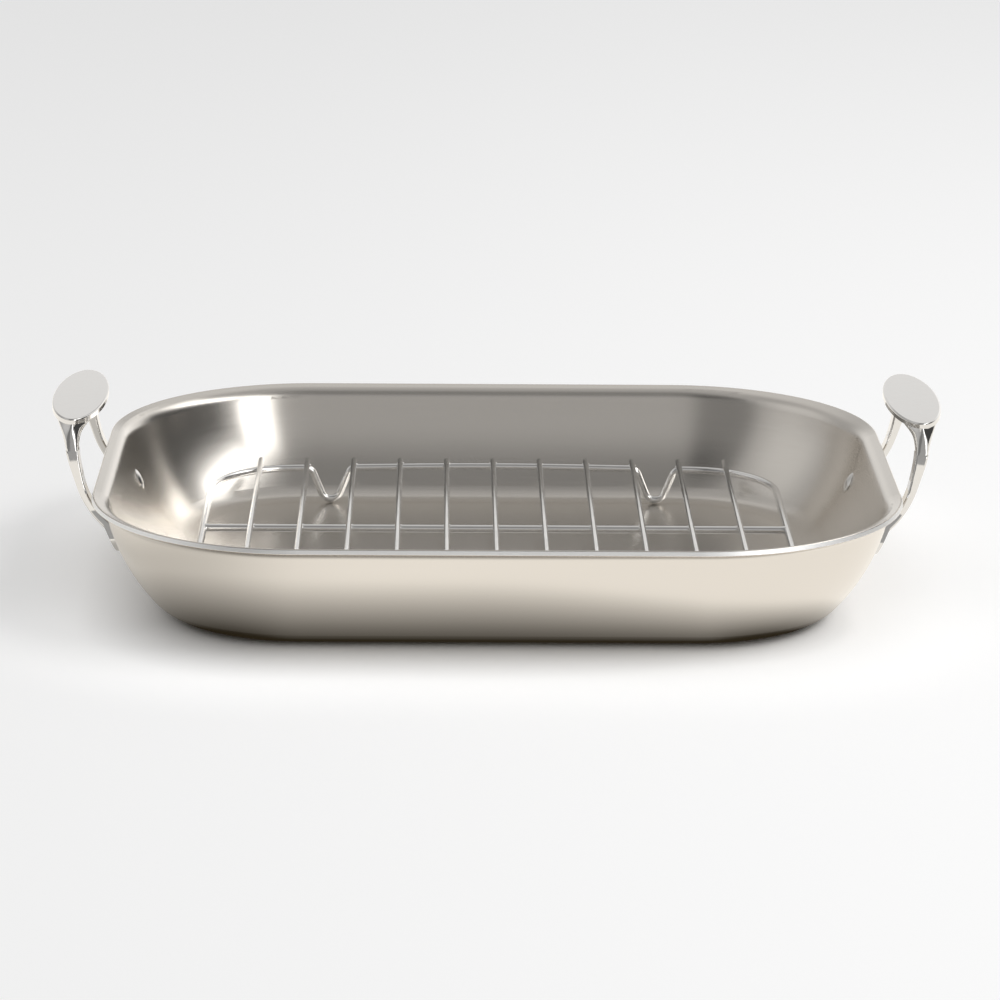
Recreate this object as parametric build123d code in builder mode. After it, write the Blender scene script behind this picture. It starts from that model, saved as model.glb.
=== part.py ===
from build123d import *
from math import asin, atan, cos, degrees, hypot, radians, sin, sqrt, tan
import os

# A roasting pan with two riveted loop handles and a loose wire rack standing in it.
# Millimetres. Origin on the table under the middle of the pan, X along the pan, Z up.

# Pan body
rim_length = 406.4
rim_width = 330.2
rim_corner_radius = 105.0
pan_height = 59.0
sheet_thickness = 2.8
flange_rise_angle = 20.0
flange_flat_length = 3.9
flange_bend_radius = 5.0
lip_top_radius = 0.7
lip_under_radius = 0.3
wall_top_angle = 12.3
wall_curve_radius = 100.0
base_bend_radius = 20.0

# Rivets
rivet_drop = 26.5
rivet_corner_gap = 6.6
rivet_shank_diameter = 5.0
rivet_head_diameter = 11.8
rivet_head_rise = 2.1
rivet_head_edge = 0.4
rivet_tail_diameter = 7.4
rivet_tail_rise = 1.5
rivet_hole_clearance = 0.1
rivet_seat_depth = 0.4

# Handles
plate_overhang = 10.95
plate_rise = 34.8
plate_end_inset = 1.2
plate_width = 27.7
plate_thickness = 2.8
plate_edge_radius = 0.8
stem_thickness = 5.7
stem_edge_radius = 0.9
pad_thickness = 3.8
pad_width = 14.0
pad_rise = 8.4
pad_drop = 7.0
neck_growth_share = 0.08
neck_blend = 4
neck_points = 20

# Centre line of a handle leg: share of the way out, share of the way up, thickness share
leg_line_shares = [
    (0.175, 0.099, 0.70),
    (0.300, 0.147, 0.70),
    (0.440, 0.199, 0.67),
    (0.567, 0.260, 0.66),
    (0.677, 0.329, 0.66),
    (0.772, 0.407, 0.68),
    (0.844, 0.493, 0.74),
    (0.909, 0.588, 0.84),
    (0.968, 0.683, 0.98),
    (1.006, 0.770, 1.12),
]
# Side view of a leg: share of the pad width outward from the rivet, share of the way up
leg_outside_shares = [
    (0.396, 0.130),
    (0.286, 0.250),
    (0.248, 0.370),
    (0.199, 0.510),
    (0.150, 0.649),
    (0.078, 0.770),
]
leg_inside_shares = [
    (-0.462, 0.130),
    (-0.436, 0.250),
    (-0.447, 0.370),
    (-0.500, 0.510),
    (-0.550, 0.649),
    (-0.650, 0.770),
]
# Neck between leg and plate: up, out, thickness, outside and inside shares as above, then squareness
leg_squareness = 5.0
neck_shares = [
    (0.825, 1.021, 1.26, 0.034, -0.715, 4.0),
    (0.875, 1.029, 1.52, -0.006, -0.815, 3.2),
    (0.917, 1.031, 1.90, -0.038, -0.985, 2.7),
    (0.950, 1.024, 2.46, -0.062, -1.240, 2.4),
    (0.978, 1.013, 3.26, -0.084, -1.680, 2.3),
    (1.000, 1.003, 4.10, -0.100, -2.250, 2.2),
    (1.020, 1.000, 4.70, -0.110, -2.750, 2.2),
]

# Rack
frame_wire_diameter = 4.0
centre_wire_diameter = 4.0
rod_diameter = 3.0
rack_end_gap = 28.7
side_lean = 9.2
frame_corner_radius = 45.0
side_bow_share = 0.57
rod_count = 11
rod_tip_setback = 0.8
rod_end_radius = 0.9
frame_height = 22.4
foot_floor_gap = 0.3
foot_floor_inset = 1.3
foot_corner_distance = 20.7
foot_pitches = 3.5
foot_rod_gap = 2.0
foot_bend_radius = 5.5
foot_shoulder_radius = 4.5
weld_sink = 0.2
weld_collar_diameter = 4.6
weld_collar_length = 2.2

# One length longer than anything a cut has to pass
cut_overrun = 40.0

rim_half_length = rim_length / 2
rim_half_width = rim_width / 2
end_axis = rim_half_length - rim_corner_radius
side_axis = rim_half_width - rim_corner_radius
rivet_height = pan_height - rivet_drop
rivet_spread = side_axis - rivet_corner_gap
plate_top_height = pan_height + plate_rise

# Section of the sheet, drawn outward from the axis of a rim corner
bend_turn = 90 - flange_rise_angle - wall_top_angle
with BuildSketch() as sheet_section:
    with BuildLine():
        lip_out = Vector(sin(radians(flange_rise_angle)), -cos(radians(flange_rise_angle)))
        lip = sheet_thickness * lip_out
        lip_lift = lip_top_radius * (lip_out.X - lip_out.Y - 1)
        rim_edge = Vector(rim_corner_radius, pan_height + lip_lift)
        lip_edge = Line(rim_edge, rim_edge + lip)
        flange_under = PolarLine(rim_edge + lip, flange_flat_length, 180 + flange_rise_angle)
        bend_under = JernArc(flange_under @ 1, flange_under % 1, flange_bend_radius, bend_turn)
        wall_start = bend_under @ 1
        wall_centre_z = wall_start.Y + wall_curve_radius * sin(radians(wall_top_angle))
        curve_difference = wall_curve_radius - base_bend_radius
        wall_foot_angle = degrees(asin((wall_centre_z - base_bend_radius) / curve_difference))
        wall_turn = wall_foot_angle - wall_top_angle
        base_turn = 90 - wall_foot_angle
        wall_outside = JernArc(wall_start, bend_under % 1, wall_curve_radius, -wall_turn)
        base_outside = JernArc(wall_outside @ 1, wall_outside % 1, base_bend_radius, -base_turn)
        flange_top = PolarLine(rim_edge, flange_flat_length, 180 + flange_rise_angle)
        outer_bend_radius = flange_bend_radius + sheet_thickness
        inner_wall_radius = wall_curve_radius - sheet_thickness
        inner_base_radius = base_bend_radius - sheet_thickness
        bend_top = JernArc(flange_top @ 1, flange_top % 1, outer_bend_radius, bend_turn)
        wall_inside = JernArc(bend_top @ 1, bend_top % 1, inner_wall_radius, -wall_turn)
        base_inside = JernArc(wall_inside @ 1, wall_inside % 1, inner_base_radius, -base_turn)
        floor_join = Line(base_outside @ 1, base_inside @ 1)
    make_face()
    fillet(sheet_section.vertices().sort_by_distance(rim_edge)[0], lip_top_radius)
    fillet(sheet_section.vertices().sort_by_distance(rim_edge + lip)[0], lip_under_radius)
floor_corner_radius = (base_outside @ 1).X

# Where the wall's big curve is centred, as seen on an end of the pan
wall_centre_reach = wall_start.X - wall_curve_radius * cos(radians(wall_top_angle))
wall_centre_x = end_axis + wall_centre_reach
rivet_slope = degrees(asin((wall_centre_z - rivet_height) / wall_curve_radius))
rivet_out = Vector(cos(radians(rivet_slope)), 0, -sin(radians(rivet_slope)))
wall_up = Vector(sin(radians(rivet_slope)), 0, cos(radians(rivet_slope)))
rivet_seat = Vector(wall_centre_x, 0, wall_centre_z) + wall_curve_radius * rivet_out
rivet_places = [(1, -1), (1, 1), (-1, -1), (-1, 1)]


def rivet_plane(side, distance=0, end=1):
    out = Vector(end * rivet_out.X, 0, rivet_out.Z)
    seat = Vector(end * rivet_seat.X, side * rivet_spread, rivet_seat.Z)
    return Plane(origin=seat + distance * out, x_dir=(0, 1, 0), z_dir=out)


# Pan body: four turned corners, four straight sides and the floor
with BuildPart() as pan_body:
    for end, side, start in [(1, 1, 0), (-1, 1, 90), (-1, -1, 180), (1, -1, 270)]:
        out = Vector(cos(radians(start)), sin(radians(start)), 0)
        along = Vector(-out.Y, out.X, 0)
        axis_point = Vector(end * end_axis, side * side_axis, 0)
        straight = 2 * (side_axis if start in (0, 180) else end_axis)
        with BuildSketch(Plane(origin=axis_point, x_dir=out, z_dir=-along)):
            add(sheet_section.sketch)
        extrude(amount=straight)
        with BuildSketch(Plane(origin=axis_point, x_dir=out, z_dir=-along)):
            add(sheet_section.sketch)
        revolve(axis=Axis(axis_point, (0, 0, 1)), revolution_arc=90)
    floor_length = 2 * (end_axis + floor_corner_radius)
    floor_width = 2 * (side_axis + floor_corner_radius)
    with BuildSketch():
        RectangleRounded(floor_length, floor_width, floor_corner_radius)
    extrude(amount=sheet_thickness)
    for end, side in rivet_places:
        with BuildSketch(rivet_plane(side, end=end)):
            Circle(rivet_shank_diameter / 2 + rivet_hole_clearance)
        extrude(amount=cut_overrun / 2, both=True, mode=Mode.SUBTRACT)
pan_body.part.label = "pan_body"

# Handle legs, as the crossing of a front view and a side view
plate_centre = rim_half_length + plate_overhang
plate_under = plate_top_height - plate_thickness
half_plate = rivet_spread - plate_end_inset
reach = plate_centre - rivet_seat.X
rise = plate_under - rivet_height


def leg_height(up_share):
    return rivet_height + up_share * rise


leg_line = []
for out_share, up_share, thickness_share in leg_line_shares:
    leg_line.append(Vector(rivet_seat.X + out_share * reach, leg_height(up_share)))
outside_line = []
inside_line = []
for index, point in enumerate(leg_line):
    before = leg_line[max(index - 1, 0)]
    after = leg_line[min(index + 1, len(leg_line) - 1)]
    across = (after - before).normalized().rotate(Axis.Z, -90)
    if point == leg_line[-1]:
        across = Vector(1, 0)
    half = leg_line_shares[index][2] * stem_thickness / 2
    outside_line.append(point + half * across)
    inside_line.append(point - half * across)
outside_side = [Vector(rivet_spread + out * pad_width, leg_height(up)) for out, up in leg_outside_shares]
inside_side = [Vector(rivet_spread + out * pad_width, leg_height(up)) for out, up in leg_inside_shares]
wall_disc = Vector(wall_centre_x, wall_centre_z)
flat_seat = Vector(rivet_seat.X, rivet_seat.Z)
flat_out = Vector(rivet_out.X, rivet_out.Z)
flat_up = Vector(wall_up.X, wall_up.Z)

with BuildPart() as handle_legs:
    with BuildSketch(Plane.XZ):
        with BuildLine():
            Spline(*outside_line)
            Spline(*inside_line)
            Line(outside_line[0], inside_line[0])
            Line(outside_line[-1], inside_line[-1])
        make_face()
        pad_foot = flat_seat - pad_drop * flat_up
        pad_top = flat_seat + pad_rise * flat_up
        pad_out = pad_thickness * flat_out
        pad_corners = [pad_foot - pad_out, pad_foot + pad_out, pad_top + pad_out, pad_top - pad_out]
        with BuildLine():
            Polyline(*pad_corners, close=True)
        make_face()
        with Locations(wall_disc):
            Circle(wall_curve_radius, mode=Mode.SUBTRACT)
    extrude(amount=2 * half_plate, both=True)
    with BuildSketch(Plane.YZ):
        for side in (1, -1):
            outer = [Vector(side * point.X, point.Y) for point in outside_side]
            inner = [Vector(side * point.X, point.Y) for point in inside_side]
            pad_outer = Vector(side * (rivet_spread + pad_width / 2), rivet_height)
            pad_inner = Vector(side * (rivet_spread - pad_width / 2), rivet_height)
            with BuildLine():
                Spline(pad_outer, *outer)
                Spline(pad_inner, *inner)
                Line(outer[-1], inner[-1])
                Line(pad_inner, pad_outer)
            make_face()
        with Locations((rivet_spread, rivet_height), (-rivet_spread, rivet_height)):
            Circle(pad_width / 2)
    extrude(amount=rim_length, mode=Mode.INTERSECT)
    fillet(handle_legs.edges().filter_by(lambda edge: edge.length > rise / 2), stem_edge_radius)

# Neck sections, rounded boxes that turn into the end of the plate
leg_end_out, leg_end_up, leg_end_thickness = leg_line_shares[-1]
leg_end_sides = (leg_outside_shares[-1][0], leg_inside_shares[-1][0])
leg_end = (leg_end_up, leg_end_out, leg_end_thickness, *leg_end_sides, leg_squareness)
neck_rows = [leg_end, *neck_shares]


def corner_share(value, squareness):
    return abs(value) ** (2 / squareness) * (1 if value > 0 else -1)


def neck_section(up, out, thickness, outside, inside, squareness):
    growth = half_plate * neck_growth_share * (1 - up) / (1 - leg_end[0])
    middle = rivet_spread + (outside + inside) / 2 * pad_width
    points = []
    for number in range(neck_points):
        turn = radians((number + 1 / 2) * 360 / neck_points)
        y = middle + (outside - inside) / 2 * pad_width * corner_share(sin(turn), squareness)
        plate_share = sqrt(1 - (y / (half_plate + growth)) ** 2)
        plate_side = (plate_width / 2 + growth) * plate_share
        leg_side = thickness * stem_thickness / 2
        side = (leg_side**-neck_blend + plate_side**-neck_blend) ** (-1 / neck_blend)
        x = rivet_seat.X + out * reach + side * corner_share(cos(turn), squareness)
        points.append(Vector(x, y, leg_height(up)))
    return points


with BuildPart() as neck:
    for row in neck_rows:
        section_points = neck_section(*row)
        with BuildSketch(Plane.XY.offset(section_points[0].Z)):
            with BuildLine():
                Spline(*[(point.X, point.Y) for point in section_points], periodic=True)
            make_face()
    loft()

with BuildPart() as right_handle:
    with BuildSketch(Plane.XY.offset(plate_under)):
        with Locations((plate_centre, 0)):
            Ellipse(plate_width / 2, half_plate)
    extrude(amount=plate_thickness)
    fillet(right_handle.edges().group_by(Axis.Z)[-1], plate_edge_radius)
    add(handle_legs.part)
    add(neck.part)
    add(neck.part.mirror(Plane.XZ))
    for side in (1, -1):
        with BuildSketch(rivet_plane(side, pad_thickness - rivet_seat_depth)):
            Circle(rivet_tail_diameter / 2)
        extrude(amount=rivet_tail_diameter, mode=Mode.SUBTRACT)
        with BuildSketch(rivet_plane(side)):
            Circle(rivet_shank_diameter / 2 + rivet_hole_clearance)
        extrude(amount=pad_thickness, both=True, mode=Mode.SUBTRACT)
right_handle.part.label = "right_handle"

with BuildPart() as left_handle:
    add(right_handle.part, rotation=(0, 0, 180))
left_handle.part.label = "left_handle"

# Rivets: a wide low head inside the pan, a small dome on the pad
head_cap = rivet_head_rise - rivet_head_edge
head_curve = ((rivet_head_diameter / 2) ** 2 + head_cap**2) / (2 * head_cap)
tail_curve = ((rivet_tail_diameter / 2) ** 2 + rivet_tail_rise**2) / (2 * rivet_tail_rise)
head_turn = degrees(asin(rivet_head_diameter / 2 / head_curve))
tail_turn = degrees(asin(rivet_tail_diameter / 2 / tail_curve))
tail_seat = pad_thickness - rivet_seat_depth
rivets = []
for side_name, side in (("front", -1), ("rear", 1)):
    seat = Vector(rivet_seat.X, side * rivet_spread, rivet_seat.Z)
    rivet_axis = Axis(seat, rivet_out)
    half_section = Plane(origin=seat, x_dir=(0, 1, 0), z_dir=Vector(0, 1, 0).cross(rivet_out))
    with BuildPart() as right_rivet:
        with BuildSketch(half_section):
            with BuildLine():
                cap = JernArc((0, -sheet_thickness - rivet_head_rise), (1, 0), head_curve, head_turn)
                Polyline(
                    cap @ 1,
                    Vector(rivet_head_diameter / 2, -sheet_thickness / 2),
                    Vector(0, -sheet_thickness / 2),
                    cap @ 0,
                )
            make_face()
        revolve(axis=rivet_axis)
        with BuildSketch(Plane.XZ):
            with Locations(wall_disc):
                Circle(wall_curve_radius - sheet_thickness)
        extrude(amount=rim_width, both=True, mode=Mode.INTERSECT)
        with BuildSketch(half_section):
            with BuildLine():
                dome = JernArc((0, tail_seat + rivet_tail_rise), (1, 0), tail_curve, -tail_turn)
                Polyline(
                    dome @ 1,
                    Vector(rivet_shank_diameter / 2, tail_seat),
                    Vector(rivet_shank_diameter / 2, -sheet_thickness - rivet_head_edge),
                    Vector(0, -sheet_thickness - rivet_head_edge),
                    dome @ 0,
                )
            make_face()
        revolve(axis=rivet_axis)
    right_rivet.part.label = "right_" + side_name + "_rivet"
    rivets.append(right_rivet)
    with BuildPart() as left_rivet:
        add(right_rivet.part, rotation=(0, 0, 180))
    left_rivet.part.label = "left_front_rivet" if side_name == "rear" else "left_rear_rivet"
    rivets.append(left_rivet)

# Frame wire of the rack: straight runs and bends through a list of corners
wall_drop = wall_centre_z - frame_height
wall_reach = wall_centre_reach + sqrt(inner_wall_radius**2 - wall_drop**2)
rack_half_length = end_axis + wall_reach - rack_end_gap - frame_wire_diameter / 2
foot_rest = sheet_thickness + foot_floor_gap + frame_wire_diameter / 2
side_slope = side_lean / rack_half_length
side_angle = degrees(atan(side_slope))
corner_start = rack_half_length - frame_corner_radius * tan(radians(45 - side_angle / 2))
foot_x = corner_start - foot_corner_distance
rod_pitch = foot_x / foot_pitches
foot_half_width = rod_pitch / 2 - foot_rod_gap
bend_rise = frame_height - foot_rest - foot_bend_radius
bend_reach = hypot(foot_half_width, bend_rise)
foot_leg_angle = degrees(atan(bend_rise / foot_half_width) + asin(foot_bend_radius / bend_reach))
foot_point = frame_height - foot_half_width * tan(radians(foot_leg_angle))
side_bow_run = side_bow_share * (foot_x - foot_half_width - foot_shoulder_radius)
side_bow_radius = side_bow_run / side_slope
foot_y = side_axis + floor_corner_radius - foot_floor_inset
rack_half_width = foot_y + side_slope * foot_x


def on_side(x, z):
    return Vector(x, rack_half_width - side_slope * abs(x), z)


frame_corners = [
    (on_side(0, frame_height), side_bow_radius),
    (on_side(foot_x - foot_half_width, frame_height), foot_shoulder_radius),
    (on_side(foot_x, foot_point), foot_bend_radius),
    (on_side(foot_x + foot_half_width, frame_height), foot_shoulder_radius),
    (on_side(rack_half_length, frame_height), frame_corner_radius),
]
frame_corners += [(Vector(point.X, -point.Y, point.Z), radius) for point, radius in reversed(frame_corners)]
crown = on_side(-foot_x, frame_height)
frame_corners = [(crown, 0)] + frame_corners + [(Vector(crown.X, -crown.Y, crown.Z), 0)]


def bend_ends(index):
    point, radius = frame_corners[index]
    back = (frame_corners[index - 1][0] - point).normalized()
    ahead = (frame_corners[index + 1][0] - point).normalized()
    half_angle = radians(back.get_angle(ahead)) / 2
    middle = (back + ahead).normalized()
    run = radius / tan(half_angle)
    return point + run * back, point + (radius / sin(half_angle) - radius) * middle, point + run * ahead


with BuildPart() as rack_frame_wire:
    last = len(frame_corners) - 2
    with BuildLine() as frame_path:
        for index in range(1, last + 1):
            bend_start, bend_middle, bend_end = bend_ends(index)
            bend = ThreePointArc(bend_start, bend_middle, bend_end, mode=Mode.PRIVATE)
            if index > 1:
                Line(bend_ends(index - 1)[2], bend_start)
            if index == 1:
                bend = bend.edge().trim(1 / 2, 1)
            if index == last:
                bend = bend.edge().trim(0, 1 / 2)
            add(bend)
    with BuildSketch(Plane(origin=bend_ends(1)[1], z_dir=(1, 0, 0))):
        Circle(frame_wire_diameter / 2)
    sweep()
    mirror(about=Plane.YZ)
rack_frame_wire.part.label = "rack_frame_wire"

# Centre wire, level with the top of the frame and fitted against its ends
centre_radius = centre_wire_diameter / 2
frame_radius = frame_wire_diameter / 2
wire_top = frame_height + frame_radius
centre_height = wire_top - centre_radius
collar_end = rack_half_length - frame_radius / 2
with BuildPart() as rack_centre_wire:
    with BuildSketch(Plane.YZ):
        with Locations((0, centre_height)):
            Circle(centre_radius)
    extrude(amount=collar_end, both=True)
    for end in (1, -1):
        with BuildSketch(Plane.YZ.offset(end * (collar_end - weld_collar_length))):
            with Locations((0, centre_height)):
                Circle(centre_radius)
        with BuildSketch(Plane.YZ.offset(end * collar_end)):
            with Locations((0, centre_height)):
                Circle(weld_collar_diameter / 2)
        loft()
    add(rack_frame_wire.part, mode=Mode.SUBTRACT)
rack_centre_wire.part.label = "rack_centre_wire"

# Cross rods, welded on top of the frame and the centre wire
rod_height = wire_top + rod_diameter / 2 - weld_sink
rod_half_length = rack_half_width - rod_tip_setback
rods = []
for number in range(rod_count):
    rod_x = (number - (rod_count - 1) / 2) * rod_pitch
    with BuildPart() as rod:
        with BuildSketch(Plane.XZ):
            with Locations((rod_x, rod_height)):
                Circle(rod_diameter / 2)
        extrude(amount=rod_half_length, both=True)
        fillet(rod.edges().filter_by(GeomType.CIRCLE), rod_end_radius)
        add(rack_frame_wire.part, mode=Mode.SUBTRACT)
        add(rack_centre_wire.part, mode=Mode.SUBTRACT)
    rod.part.label = "rack_cross_rod_%02d" % (number + 1)
    rods.append(rod)

os.makedirs("parts", exist_ok=True)
for piece in [pan_body, left_handle, right_handle, *rivets, rack_frame_wire, rack_centre_wire, *rods]:
    export_step(piece.part, "parts/" + piece.part.label + ".step")
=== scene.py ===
import math

import bmesh
import bpy
from mathutils import Matrix, Vector


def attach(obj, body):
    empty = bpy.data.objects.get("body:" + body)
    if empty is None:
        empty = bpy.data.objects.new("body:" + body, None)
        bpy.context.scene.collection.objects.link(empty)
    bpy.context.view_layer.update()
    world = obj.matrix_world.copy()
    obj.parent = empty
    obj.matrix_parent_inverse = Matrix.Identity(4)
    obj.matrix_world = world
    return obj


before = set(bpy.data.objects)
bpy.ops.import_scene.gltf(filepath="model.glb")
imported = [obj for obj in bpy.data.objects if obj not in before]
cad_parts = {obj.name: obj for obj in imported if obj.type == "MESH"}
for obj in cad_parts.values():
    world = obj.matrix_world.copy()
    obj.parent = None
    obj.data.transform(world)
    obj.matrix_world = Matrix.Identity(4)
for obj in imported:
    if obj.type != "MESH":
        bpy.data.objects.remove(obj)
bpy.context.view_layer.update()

MM = 0.001
FULL_TURN = 360

# Camera: place in metres, turn in degrees, lens and film in millimetres
CAMERA_PLACE = (-0.02917, -2.06913, 0.61562)
CAMERA_TURN = (74.404, -0.4866, -0.7320)
CAMERA_LENS = 148.99
CAMERA_FILM = 36.0

# What the steel mirrors: a grey studio with lighter and darker panels.
# Each panel: azimuth from the camera's side towards +X, elevation, half widths, soft share, radiance.
STUDIO_BASE = 0.43
STUDIO_TINT = (1.0, 0.985, 0.965)
PANELS = {
    "back_low": (180, 9, 40, 15, 0.8, 0.49),
    "back_high": (180, 48, 70, 30, 0.8, 0.26),
    "back_right": (150, 15, 21, 28, 0.6, 0.50),
    "front_high": (0, 62, 80, 34, 0.8, -0.20),
    "front_left": (-34, 22, 27, 48, 0.5, -0.20),
    "left_side": (-90, 26, 40, 34, 0.8, 0.24),
    "strip": (38, 14, 15, 36, 0.45, 1.9),
    "right_arch": (88, 44, 60, 13, 0.5, 1.2),
    "dark_card": (94, 4, 40, 26, 0.35, -0.36),
}

# What lights the floor: an even dome that is brighter overhead and to the right
DOME_BASE = 0.20
DOME_PANELS = {
    "overhead": (60, 80, 360, 55, 1.0, 1.05),
    "right": (95, 30, 60, 45, 1.0, 0.42),
    "front": (0, 25, 70, 40, 1.0, 0.16),
}

# Lamps: azimuth, elevation, distance (m), width, height (m), radiance, whether the steel mirrors it
LAMPS = {
    "key_softbox": (86, 44, 2.6, 2.0, 0.6, 1.4, True),
    "strip_softbox": (40, 18, 2.4, 0.5, 1.5, 0.9, True),
    "shadow_softbox": (80, 46, 2.6, 1.6, 0.8, 4.2, False),
}

BACKDROP_GREY = 0.90

# The floor near the pan gets a painted shade ramp from its footprint. Lengths are in metres, and "away" is
# measured from the footprint.
FLOOR_HALF = 9.0
FLOOR_GREY = 0.87
FOOTPRINT = (0.110, 0.085)
FOOTPRINT_CORNER = 0.040
SHADE_START = 0.0055
SHADE_WIDTHS = (0.056, 0.027)
SHADE_X = (-0.02, 0.17)

# What the steel mirrors of the floor is a painted reflection: painted shade under the rim, light further
# out, painted shade near the left end
PAINTED_SHADE_UNDER_RIM = (0.030, 0.023, 0.013)
FLOOR_LIGHT = (1.10, 1.055, 0.985)
NEAR_LEFT_X = (-0.24, -0.06)
NEAR_LEFT_AWAY = (0.16, 0.07)
NEAR_LEFT_PAINTED_SHADE = 0.40

# How much the floor glows where the camera sees it: evenly everywhere, plus painted light towards the right
# and a painted pool of light around the pan
LIFT_BASE = 0.13
LIFT_RIGHT_X = (-0.30, 0.25)
LIFT_RIGHT = 0.02
HALO_AWAY = (0.13, 0.03)
HALO_X = (-0.16, 0.17)
HALO_LEVELS = (0.16, 0.08)

# Colours of the steels
PAN_TONES = ((0.725, 0.695, 0.652), (0.755, 0.725, 0.682))
PAN_CLOUD_TONE = (0.70, 0.67, 0.63)
# Cut edge: bare sheared steel, its near white partly a painted highlight
CUT_EDGE_TONE_AND_HIGHLIGHT = (0.97, 0.98, 0.99)
HANDLE_TONE = (0.74, 0.735, 0.725)
RIVET_TONE = (0.82, 0.81, 0.79)
WIRE_TONES = ((0.78, 0.775, 0.77), (0.90, 0.895, 0.885))
BUFFED_SHADE = 0.94

# Roughness, as lowest and highest where the grain varies it
PAN_ROUGHNESS = (0.20, 0.235)
CUT_EDGE_ROUGHNESS = 0.5
HANDLE_ROUGHNESS = 0.05
RIVET_ROUGHNESS = 0.07
WIRE_ROUGHNESS = (0.11, 0.19)
CLOUD_ROUGHNESS = 0.03
PAN_ANISOTROPY = 0.4
PAN_ANISOTROPY_TURN = 0.25

# The grain's scale along and across its lines, fine and wide
GRAIN_FINE = (40, 3600)
GRAIN_WIDE = (12, 900)
GRAIN_WIDE_SHARE = 0.4
GRAIN_OUTSIDE = 0.25
GRAIN_RANGE = (0.3, 0.7)
CLOUD_SCALE = 11.0
CLOUD_SHARE = 0.2
SCRATCH_SCALE = (300, 300, 1400)
SCRATCH_RANGE = (0.3, 0.75)
RIPPLE_SCALE = 130.0
DRAW_SCALE = (700, 60, 700)
WIRE_CLOUD_SCALE = 90.0

# Bump: strength and depth
PAN_BUMP = (0.035, 0.02 * MM)
POLISH_BUMP = (0.2, 0.04 * MM)
WIRE_BUMP = (0.15, 0.02 * MM)

# Facing: how far up a face looks where it counts as the pan's floor, and as the inside
FLOOR_FACE = (0.80, 0.97)
INSIDE_FACE = (-0.05, 0.12)

# The cut edge, rougher and painted light as a highlight, lies within these distances of the rim's top and
# faces outwards
CUT_EDGE_BAND = (3.2 * MM, 2.6 * MM)
CUT_EDGE_FACE = ((0.10, 0.25), (0.50, 0.40))

# Softened edges of the handles
EDGE_WIDTH = 0.35 * MM
EDGE_SEGMENTS = 2
EDGE_ANGLE = 50

# Weld beads: half sizes, how far they sink under the wire's top, and where the wire is looked for
BEAD_HALF = (2.1, 1.25, 0.75)
BEAD_SINK = 0.1 * MM
BEAD_ROUND = (20, 10)
SEARCH_REACH = 9 * MM
SEARCH_TOP = 0.4 * MM
SEARCH_POINTS = 6


class Nodes:
    """A short way to build a node tree."""

    def __init__(self, tree):
        self.tree = tree
        tree.nodes.clear()

    def add(self, kind, **settings):
        node = self.tree.nodes.new(kind)
        for name, value in settings.items():
            setattr(node, name, value)
        return node

    def feed(self, socket, value):
        if isinstance(value, bpy.types.NodeSocket):
            self.tree.links.new(value, socket)
        else:
            socket.default_value = value

    def math(self, operation, *values, clamp=False):
        node = self.add("ShaderNodeMath", operation=operation, use_clamp=clamp)
        for index, value in enumerate(values):
            self.feed(node.inputs[index], value)
        return node.outputs[0]

    def vector(self, operation, *values):
        node = self.add("ShaderNodeVectorMath", operation=operation)
        for index, value in enumerate(values):
            self.feed(node.inputs[index], value)
        return node.outputs["Value" if operation in ("DOT_PRODUCT", "LENGTH") else "Vector"]

    def parts(self, vector):
        node = self.add("ShaderNodeSeparateXYZ")
        self.feed(node.inputs[0], vector)
        return node.outputs

    def span(self, value, low, high, to_low=0.0, to_high=1.0, kind="SMOOTHSTEP"):
        node = self.add("ShaderNodeMapRange", interpolation_type=kind)
        ends = {"Value": value, "From Min": low, "From Max": high, "To Min": to_low, "To Max": to_high}
        for name, number in ends.items():
            self.feed(node.inputs[name], number)
        return node.outputs["Result"]

    def mix(self, share, first, second):
        node = self.add("ShaderNodeMix", data_type="RGBA")
        self.feed(node.inputs["Factor"], share)
        self.feed(node.inputs[6], first)
        self.feed(node.inputs[7], second)
        return node.outputs[2]

    def blend(self, share, first, second):
        return self.math("ADD", self.math("MULTIPLY", self.math("SUBTRACT", 1.0, share), first),
                         self.math("MULTIPLY", share, second))

    def noise(self, vector, scale, detail=2.0, roughness=0.5):
        node = self.add("ShaderNodeTexNoise", noise_dimensions="3D")
        self.feed(node.inputs["Vector"], vector)
        self.feed(node.inputs["Scale"], scale)
        self.feed(node.inputs["Detail"], detail)
        self.feed(node.inputs["Roughness"], roughness)
        return node.outputs["Fac"]


def colour(red, green, blue):
    return (red, green, blue, 1.0)


def direction(azimuth, elevation):
    a = math.radians(azimuth)
    e = math.radians(elevation)
    return Vector((math.sin(a) * math.cos(e), -math.cos(a) * math.cos(e), math.sin(e)))


def make_camera():
    data = bpy.data.cameras.new("camera")
    data.lens = CAMERA_LENS
    data.sensor_width = CAMERA_FILM
    data.sensor_fit = "HORIZONTAL"
    camera = bpy.data.objects.new("camera", data)
    camera.location = CAMERA_PLACE
    camera.rotation_euler = [math.radians(angle) for angle in CAMERA_TURN]
    bpy.context.collection.objects.link(camera)
    bpy.context.scene.camera = camera


def panel_light(n, azimuth, elevation, panels, base):
    total = base
    for centre_az, centre_el, half_az, half_el, soft, radiance in panels.values():
        turn = n.math("ABSOLUTE", n.math("WRAP", n.math("SUBTRACT", azimuth, centre_az), 180.0, -180.0))
        tilt = n.math("ABSOLUTE", n.math("SUBTRACT", elevation, centre_el))
        all_round = half_az >= FULL_TURN
        across = 1.0 if all_round else n.span(turn, half_az * (1 - soft), half_az, 1.0, 0.0)
        upward = n.span(tilt, half_el * (1 - soft), half_el, 1.0, 0.0)
        total = n.math("ADD", total, n.math("MULTIPLY", n.math("MULTIPLY", across, upward), radiance))
    return n.math("MAXIMUM", total, 0.0)


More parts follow.
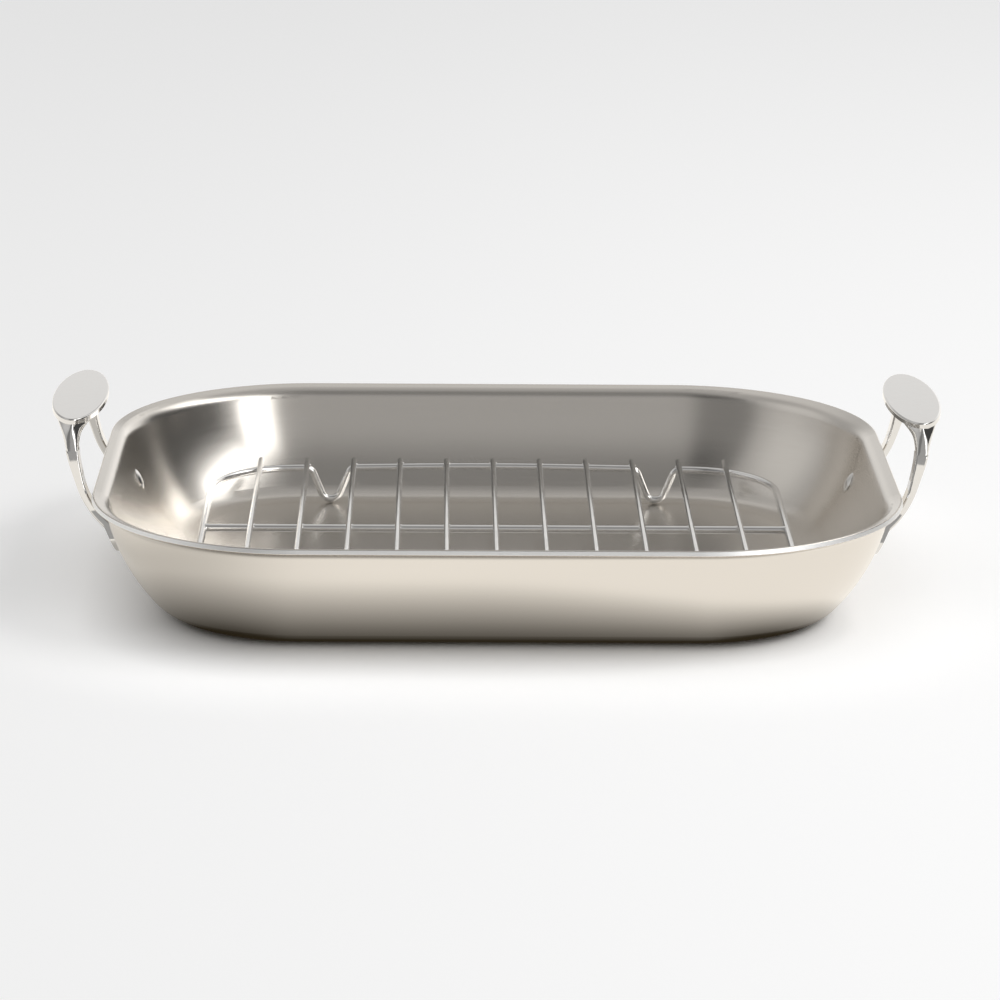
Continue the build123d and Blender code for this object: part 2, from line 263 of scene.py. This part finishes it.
def make_world():
    world = bpy.data.worlds.new("studio")
    world.use_nodes = True
    bpy.context.scene.world = world
    n = Nodes(world.node_tree)
    view = n.parts(n.vector("NORMALIZE", n.add("ShaderNodeTexCoord").outputs["Generated"]))
    to_degrees = math.degrees(1.0)
    elevation = n.math("MULTIPLY", n.math("ARCSINE", view["Z"]), to_degrees)
    turned = n.math("ARCTAN2", view["X"], n.math("MULTIPLY", view["Y"], -1.0))
    azimuth = n.math("MULTIPLY", turned, to_degrees)
    studio = panel_light(n, azimuth, elevation, PANELS, STUDIO_BASE)
    dome = panel_light(n, azimuth, elevation, DOME_PANELS, DOME_BASE)
    rays = n.add("ShaderNodeLightPath")
    tint = n.add("ShaderNodeCombineColor")
    for channel in range(3):
        n.feed(tint.inputs[channel], n.math("MULTIPLY", studio, STUDIO_TINT[channel]))
    plain = n.add("ShaderNodeCombineColor")
    for channel in range(3):
        n.feed(plain.inputs[channel], dome)
    light = n.add("ShaderNodeBackground")
    n.feed(light.inputs["Color"], n.mix(rays.outputs["Is Glossy Ray"], plain.outputs[0], tint.outputs[0]))
    backdrop = n.add("ShaderNodeBackground")
    backdrop.inputs["Color"].default_value = colour(*[BACKDROP_GREY] * 3)
    mix = n.add("ShaderNodeMixShader")
    n.feed(mix.inputs[0], rays.outputs["Is Camera Ray"])
    n.feed(mix.inputs[1], light.outputs[0])
    n.feed(mix.inputs[2], backdrop.outputs[0])
    n.feed(n.add("ShaderNodeOutputWorld").inputs["Surface"], mix.outputs[0])


def make_lamps():
    aim = Vector((0, 0, 0.03))
    for name, (azimuth, elevation, distance, width, height, radiance, mirrored) in LAMPS.items():
        data = bpy.data.lights.new(name, "AREA")
        data.shape = "RECTANGLE"
        data.size = width
        data.size_y = height
        data.energy = radiance * math.pi * width * height
        lamp = bpy.data.objects.new(name, data)
        toward = direction(azimuth, elevation)
        lamp.location = aim + distance * toward
        lamp.rotation_euler = toward.to_track_quat("Z", "Y").to_euler()
        lamp.visible_glossy = mirrored
        bpy.context.collection.objects.link(lamp)


def floor_material():
    material = bpy.data.materials.new("studio_floor")
    material.use_nodes = True
    n = Nodes(material.node_tree)
    place = n.parts(n.add("ShaderNodeTexCoord").outputs["Object"])
    past_x = n.math("MAXIMUM", n.math("SUBTRACT", n.math("ABSOLUTE", place["X"]), FOOTPRINT[0]), 0.0)
    past_y = n.math("MAXIMUM", n.math("SUBTRACT", n.math("ABSOLUTE", place["Y"]), FOOTPRINT[1]), 0.0)
    corner = n.add("ShaderNodeCombineXYZ")
    n.feed(corner.inputs["X"], past_x)
    n.feed(corner.inputs["Y"], past_y)
    away = n.math("SUBTRACT", n.vector("LENGTH", corner.outputs[0]), FOOTPRINT_CORNER)
    shade_width = n.span(place["X"], *SHADE_X, *SHADE_WIDTHS)
    # lit is the painted shade ramp: 0 at the pan's foot, 1 further out
    lit = n.math("DIVIDE", n.math("SUBTRACT", away, SHADE_START), shade_width, clamp=True)
    # Painted shade near the pan's left end, in the steel's view of the floor
    left_end = n.span(place["X"], *NEAR_LEFT_X, NEAR_LEFT_PAINTED_SHADE, 0.0)
    painted_left_shade = n.math("MULTIPLY", left_end, n.span(away, *NEAR_LEFT_AWAY))
    side = n.math("SUBTRACT", 1.0, painted_left_shade)
    # Glossy rays see the floor as a glow with this painted shade ramp, a painted reflection instead of a
    # cast shadow
    mirrored = n.mix(lit, colour(*PAINTED_SHADE_UNDER_RIM), colour(*FLOOR_LIGHT))
    rays = n.add("ShaderNodeLightPath")
    base = n.add("ShaderNodeBsdfDiffuse")
    base.inputs["Color"].default_value = colour(*[FLOOR_GREY] * 3)
    lift = n.add("ShaderNodeEmission")
    # Painted light towards the right and a painted pool of light around the pan
    right = n.span(place["X"], *LIFT_RIGHT_X, 0.0, LIFT_RIGHT)
    painted_halo = n.math("MULTIPLY", n.span(away, *HALO_AWAY), n.span(place["X"], *HALO_X, *HALO_LEVELS))
    lift.inputs["Color"].default_value = colour(1.0, 1.0, 1.0)
    lifted = n.math("ADD", n.math("ADD", right, painted_halo), LIFT_BASE)
    # The glow fades to none at the pan's foot with the painted shade ramp, so the cast shadow there stays
    n.feed(lift.inputs["Strength"], n.math("MULTIPLY", lifted, lit))
    seen = n.add("ShaderNodeAddShader")
    n.feed(seen.inputs[0], base.outputs[0])
    n.feed(seen.inputs[1], lift.outputs[0])
    first = n.add("ShaderNodeMixShader")
    n.feed(first.inputs[0], rays.outputs["Is Camera Ray"])
    n.feed(first.inputs[1], base.outputs[0])
    n.feed(first.inputs[2], seen.outputs[0])
    # The glow, with its painted shade, is all the steel mirrors of the floor
    glow = n.add("ShaderNodeEmission")
    n.feed(glow.inputs["Color"], mirrored)
    n.feed(glow.inputs["Strength"], side)
    last = n.add("ShaderNodeMixShader")
    n.feed(last.inputs[0], rays.outputs["Is Glossy Ray"])
    n.feed(last.inputs[1], first.outputs[0])
    n.feed(last.inputs[2], glow.outputs[0])
    n.feed(n.add("ShaderNodeOutputMaterial").inputs["Surface"], last.outputs[0])
    return material


def make_floor():
    mesh = bpy.data.meshes.new("studio_floor")
    corners = [(x * FLOOR_HALF, y * FLOOR_HALF, 0) for x, y in ((-1, -1), (1, -1), (1, 1), (-1, 1))]
    mesh.from_pydata(corners, [], [(0, 1, 2, 3)])
    mesh.materials.append(floor_material())
    floor = bpy.data.objects.new("studio_floor", mesh)
    bpy.context.collection.objects.link(floor)


def new_material(name):
    material = bpy.data.materials.new(name)
    material.use_nodes = True
    n = Nodes(material.node_tree)
    shader = n.add("ShaderNodeBsdfPrincipled")
    shader.inputs["Metallic"].default_value = 1.0
    n.feed(n.add("ShaderNodeOutputMaterial").inputs["Surface"], shader.outputs[0])
    return material, n, shader


def add_bump(n, shader, height, strength, distance):
    bump = n.add("ShaderNodeBump")
    bump.inputs["Strength"].default_value = strength
    bump.inputs["Distance"].default_value = distance
    n.feed(bump.inputs["Height"], height)
    n.feed(shader.inputs["Normal"], bump.outputs[0])


def pan_steel(rim_height):
    """Satin sheet: fine grain round the walls and along the floor, plainer outside, and a rougher cut edge
    with a painted highlight.
    """
    material, n, shader = new_material("pan_satin_steel")
    coords = n.add("ShaderNodeTexCoord")
    place = coords.outputs["Object"]
    normal_z = n.parts(coords.outputs["Normal"])["Z"]
    height = n.parts(place)["Z"]
    level = n.span(normal_z, *FLOOR_FACE)
    inside = n.span(normal_z, *INSIDE_FACE)
    fine_along, fine_across = GRAIN_FINE
    wide_along, wide_across = GRAIN_WIDE
    wall_fine = n.noise(n.vector("MULTIPLY", place, (fine_along, fine_along, fine_across)), 1.0)
    wall_wide = n.noise(n.vector("MULTIPLY", place, (wide_along, wide_along, wide_across)), 1.0, 3.0)
    floor_fine = n.noise(n.vector("MULTIPLY", place, (fine_along, fine_across, fine_along)), 1.0)
    floor_wide = n.noise(n.vector("MULTIPLY", place, (wide_along, wide_across, wide_along)), 1.0, 3.0)
    fine = n.blend(level, wall_fine, floor_fine)
    wide = n.blend(level, wall_wide, floor_wide)
    grain = n.blend(GRAIN_WIDE_SHARE, fine, wide)
    grain = n.blend(n.span(inside, 0.0, 1.0, GRAIN_OUTSIDE, 1.0), 0.5, grain)
    cloud = n.noise(place, CLOUD_SCALE, 3.0)
    tone = n.mix(n.span(grain, *GRAIN_RANGE, kind="LINEAR"), *[colour(*tone) for tone in PAN_TONES])
    tone = n.mix(n.math("MULTIPLY", cloud, CLOUD_SHARE), tone, colour(*PAN_CLOUD_TONE))
    grain_rough = n.span(grain, *GRAIN_RANGE, *PAN_ROUGHNESS, "LINEAR")
    rough = n.math("ADD", grain_rough, n.math("MULTIPLY", cloud, CLOUD_ROUGHNESS))
    rim = n.span(height, *[rim_height - depth for depth in CUT_EDGE_BAND])
    edge_face = n.math("MULTIPLY", *[n.span(normal_z, *reach) for reach in CUT_EDGE_FACE])
    cut_edge = n.math("MULTIPLY", rim, edge_face)
    # The cut edge's light colour is partly its bare finish and partly a painted highlight for rounded edges
    # catching light
    n.feed(shader.inputs["Base Color"], n.mix(cut_edge, tone, colour(*CUT_EDGE_TONE_AND_HIGHLIGHT)))
    n.feed(shader.inputs["Roughness"], n.blend(cut_edge, rough, CUT_EDGE_ROUGHNESS))
    shader.inputs["Anisotropic"].default_value = PAN_ANISOTROPY
    shader.inputs["Anisotropic Rotation"].default_value = PAN_ANISOTROPY_TURN
    tangent = n.add("ShaderNodeTangent", direction_type="RADIAL", axis="Z")
    n.feed(shader.inputs["Tangent"], tangent.outputs[0])
    add_bump(n, shader, grain, *PAN_BUMP)
    return material


def polished_steel(name, tint, roughness):
    """Mirror steel with faint buffing marks."""
    material, n, shader = new_material(name)
    place = n.add("ShaderNodeTexCoord").outputs["Object"]
    ripple = n.noise(place, RIPPLE_SCALE, 2.0)
    scratch = n.noise(n.vector("MULTIPLY", place, SCRATCH_SCALE), 1.0, 3.0)
    buffed = [BUFFED_SHADE * part for part in tint]
    n.feed(shader.inputs["Base Color"], n.mix(scratch, colour(*buffed), colour(*tint)))
    n.feed(shader.inputs["Roughness"], n.span(scratch, *SCRATCH_RANGE, roughness, roughness * 1.5, "LINEAR"))
    add_bump(n, shader, ripple, *POLISH_BUMP)
    return material


def wire_steel():
    """Drawn wire, bright and a little uneven."""
    material, n, shader = new_material("bright_wire")
    place = n.add("ShaderNodeTexCoord").outputs["Object"]
    draw = n.noise(n.vector("MULTIPLY", place, DRAW_SCALE), 1.0, 2.0)
    cloud = n.noise(place, WIRE_CLOUD_SCALE, 3.0)
    n.feed(shader.inputs["Base Color"], n.mix(cloud, *[colour(*tone) for tone in WIRE_TONES]))
    n.feed(shader.inputs["Roughness"], n.span(draw, *GRAIN_RANGE, *WIRE_ROUGHNESS, "LINEAR"))
    add_bump(n, shader, draw, *WIRE_BUMP)
    return material


def dress(obj, material):
    for slot in obj.material_slots:
        slot.material = material
    if not obj.material_slots:
        obj.data.materials.append(material)


def soften(obj):
    """Break the hard edges of a node, so that they catch the light."""
    bevel = obj.modifiers.new("soft_edges", "BEVEL")
    bevel.width = EDGE_WIDTH
    bevel.segments = EDGE_SEGMENTS
    bevel.limit_method = "ANGLE"
    bevel.angle_limit = math.radians(EDGE_ANGLE)
    bevel.harden_normals = False


def node_span(node):
    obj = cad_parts[node]
    points = [obj.matrix_world @ vertex.co for vertex in obj.data.vertices]
    low = Vector([min(point[axis] for point in points) for axis in range(3)])
    high = Vector([max(point[axis] for point in points) for axis in range(3)])
    return low, high


def add_welds(material):
    """Small beads where each cross rod is welded to the frame and to the centre wire."""
    rods = sorted(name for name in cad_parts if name.startswith("rack_cross_rod"))
    frame_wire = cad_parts["rack_frame_wire"]
    wire_points = [frame_wire.matrix_world @ vertex.co for vertex in frame_wire.data.vertices]
    wire_top = max(point.z for point in wire_points)
    bead = Vector(BEAD_HALF) * MM
    around, upwards = BEAD_ROUND
    beads = bmesh.new()
    for rod in rods:
        low, high = node_span(rod)
        x = (low.x + high.x) / 2
        near = [p for p in wire_points if abs(p.x - x) < SEARCH_REACH and p.z > wire_top - SEARCH_TOP]
        places = [0.0]
        for side in (-1, 1):
            on_side = [p for p in near if p.y * side > 0]
            on_side.sort(key=lambda p: abs(p.x - x))
            close = on_side[:SEARCH_POINTS]
            places.append(sum(p.y for p in close) / len(close))
        for y in places:
            where = Matrix.Translation((x, y, wire_top - BEAD_SINK)) @ Matrix.Diagonal((*bead, 1.0))
            bmesh.ops.create_uvsphere(beads, u_segments=around, v_segments=upwards, radius=1.0, matrix=where)
    mesh = bpy.data.meshes.new("rack_weld_beads")
    beads.to_mesh(mesh)
    beads.free()
    for face in mesh.polygons:
        face.use_smooth = True
    mesh.materials.append(material)
    piece = bpy.data.objects.new("rack_weld_beads", mesh)
    bpy.context.collection.objects.link(piece)
    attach(piece, "rack")


def dress_nodes():
    pan_top = node_span("pan_body")[1].z
    steel = pan_steel(pan_top)
    handle = polished_steel("handle_polished_steel", HANDLE_TONE, HANDLE_ROUGHNESS)
    rivet = polished_steel("rivet_polished_steel", RIVET_TONE, RIVET_ROUGHNESS)
    wire = wire_steel()
    for node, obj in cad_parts.items():
        if node == "pan_body":
            dress(obj, steel)
        elif node.endswith("handle"):
            dress(obj, handle)
            soften(obj)
        elif node.endswith("rivet"):
            dress(obj, rivet)
        else:
            dress(obj, wire)
    add_welds(wire)


make_camera()
make_world()
make_lamps()
make_floor()
dress_nodes()

bpy.context.scene.view_settings.view_transform = "Standard"
